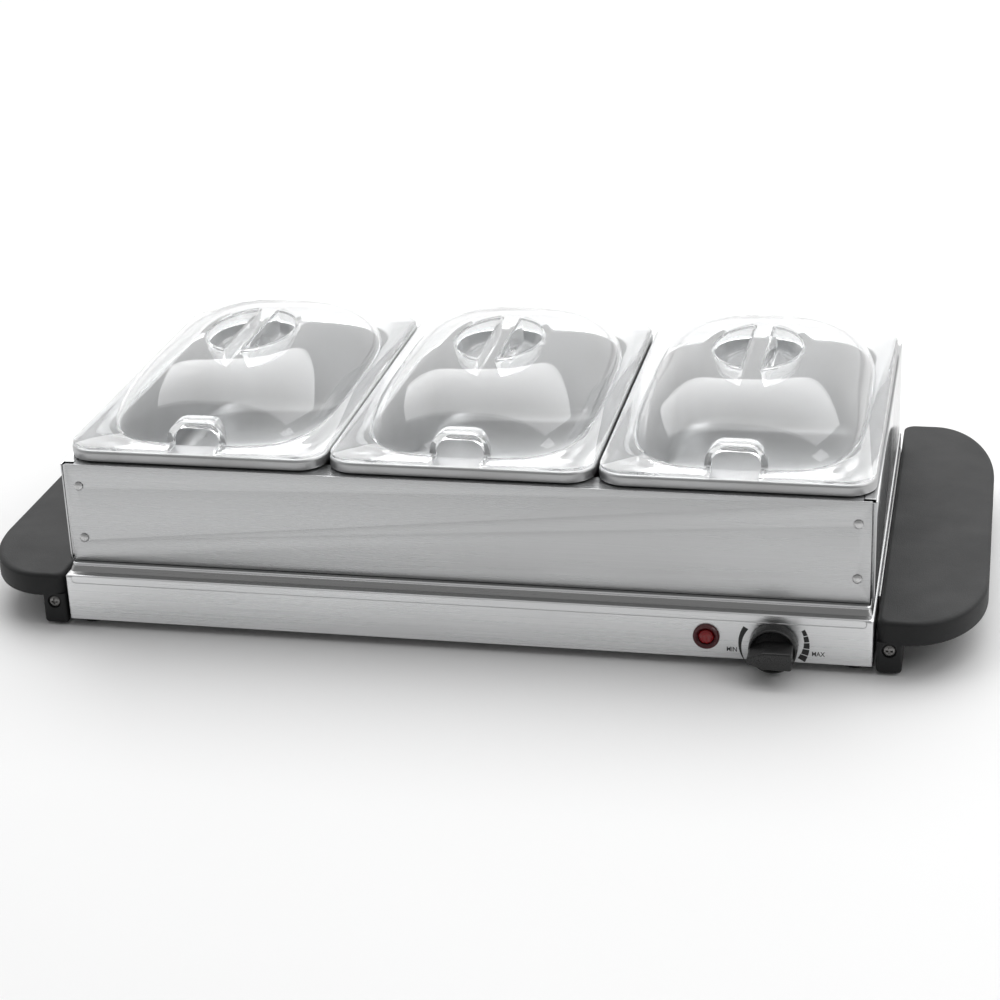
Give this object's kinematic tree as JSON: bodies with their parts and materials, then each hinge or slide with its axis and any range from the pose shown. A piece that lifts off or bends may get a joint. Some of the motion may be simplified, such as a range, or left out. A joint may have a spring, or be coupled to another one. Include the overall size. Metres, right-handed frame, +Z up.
{
  "type": "electric buffet server",
  "caption": "Electric buffet server: a warming base with end handles and a dial, and a lift-off steel frame holding lift-out pans under clear domed lids with spoon notches.",
  "frame": {"origin": "centre of the footprint of the whole object on the surface it stands on", "axes": "+X along the length to the right of someone facing the dial, -Y towards the dial side, +Z up"},
  "size_m": [0.695, 0.3746, 0.1641],
  "materials": {
    "brushed_steel": "brushed along the length",
    "polished_steel": "bright, near mirror",
    "plain_steel": "plain zinc-plated",
    "element_steel": "dull heat-darkened sheath",
    "aluminium": "satin",
    "brass": "plain",
    "black_plastic": "fine matte texture",
    "dark_plastic": "satin",
    "cream_plastic": "matte",
    "red_bezel": "gloss",
    "red_lens": "gloss, translucent",
    "rubber": "matte",
    "clear_plastic": null
  },
  "bodies": {
    "base": {"base_shell": "brushed_steel", "bottom_cover": "plain_steel", "cord_gland": "dark_plastic", "element_strap_left": "plain_steel", "element_strap_right": "plain_steel", "end_bracket_left": "plain_steel", "end_bracket_right": "plain_steel", "foot_screw_front_left": "plain_steel", "foot_screw_front_right": "plain_steel", "foot_screw_rear_left": "plain_steel", "foot_screw_rear_right": "plain_steel", "handle_left": "black_plastic", "handle_right": "black_plastic", "handle_screw_left_front": "plain_steel", "handle_screw_left_rear": "plain_steel", "handle_screw_right_front": "plain_steel", "handle_screw_right_rear": "plain_steel", "heat_reflector": "aluminium", "heating_element": "element_steel", "lamp_bezel": "red_bezel", "lamp_body": "cream_plastic", "lamp_lens": "red_lens", "rubber_foot_front_left": "rubber", "rubber_foot_front_right": "rubber", "rubber_foot_rear_left": "rubber", "rubber_foot_rear_right": "rubber", "terminal_block": "cream_plastic", "thermal_fuse": "aluminium", "thermostat_body": "cream_plastic", "thermostat_nut": "brass"},
    "knob": {"control_knob": "dark_plastic", "thermostat_shaft": "plain_steel"},
    "pan_frame": {"frame_front": "brushed_steel", "frame_rear": "brushed_steel", "frame_side_left": "polished_steel", "frame_side_right": "polished_steel", "rivet_front_left_lower": "aluminium", "rivet_front_left_upper": "aluminium", "rivet_front_right_lower": "aluminium", "rivet_front_right_upper": "aluminium", "rivet_rear_left_lower": "aluminium", "rivet_rear_left_upper": "aluminium", "rivet_rear_right_lower": "aluminium", "rivet_rear_right_upper": "aluminium"},
    "pan_left": {"pan_left": "polished_steel"},
    "lid_left": {"lid_left": "clear_plastic"},
    "pan_middle": {"pan_middle": "polished_steel"},
    "lid_middle": {"lid_middle": "clear_plastic"},
    "pan_right": {"pan_right": "polished_steel"},
    "lid_right": {"lid_right": "clear_plastic"}
  },
  "joints": [
    {"name": "knob_turn", "type": "hinge", "parent": "base", "child": "knob", "pos_m": [0.212, -0.16125, 0.018], "axis": [0, 1, 0], "range_deg": [-35, 215]},
    {"name": "frame_lift", "type": "slide", "parent": "base", "child": "pan_frame", "axis": [0, 0, 1], "range_m": [0, 0.12]},
    {"name": "pan_left_lift", "type": "slide", "parent": "pan_frame", "child": "pan_left", "axis": [0, 0, 1], "range_m": [0, 0.11]},
    {"name": "lid_left_lift", "type": "slide", "parent": "pan_left", "child": "lid_left", "axis": [0, 0, 1], "range_m": [0, 0.08]},
    {"name": "pan_middle_lift", "type": "slide", "parent": "pan_frame", "child": "pan_middle", "axis": [0, 0, 1], "range_m": [0, 0.11]},
    {"name": "lid_middle_lift", "type": "slide", "parent": "pan_middle", "child": "lid_middle", "axis": [0, 0, 1], "range_m": [0, 0.08]},
    {"name": "pan_right_lift", "type": "slide", "parent": "pan_frame", "child": "pan_right", "axis": [0, 0, 1], "range_m": [0, 0.11]},
    {"name": "lid_right_lift", "type": "slide", "parent": "pan_right", "child": "lid_right", "axis": [0, 0, 1], "range_m": [0, 0.08]}
  ]
}
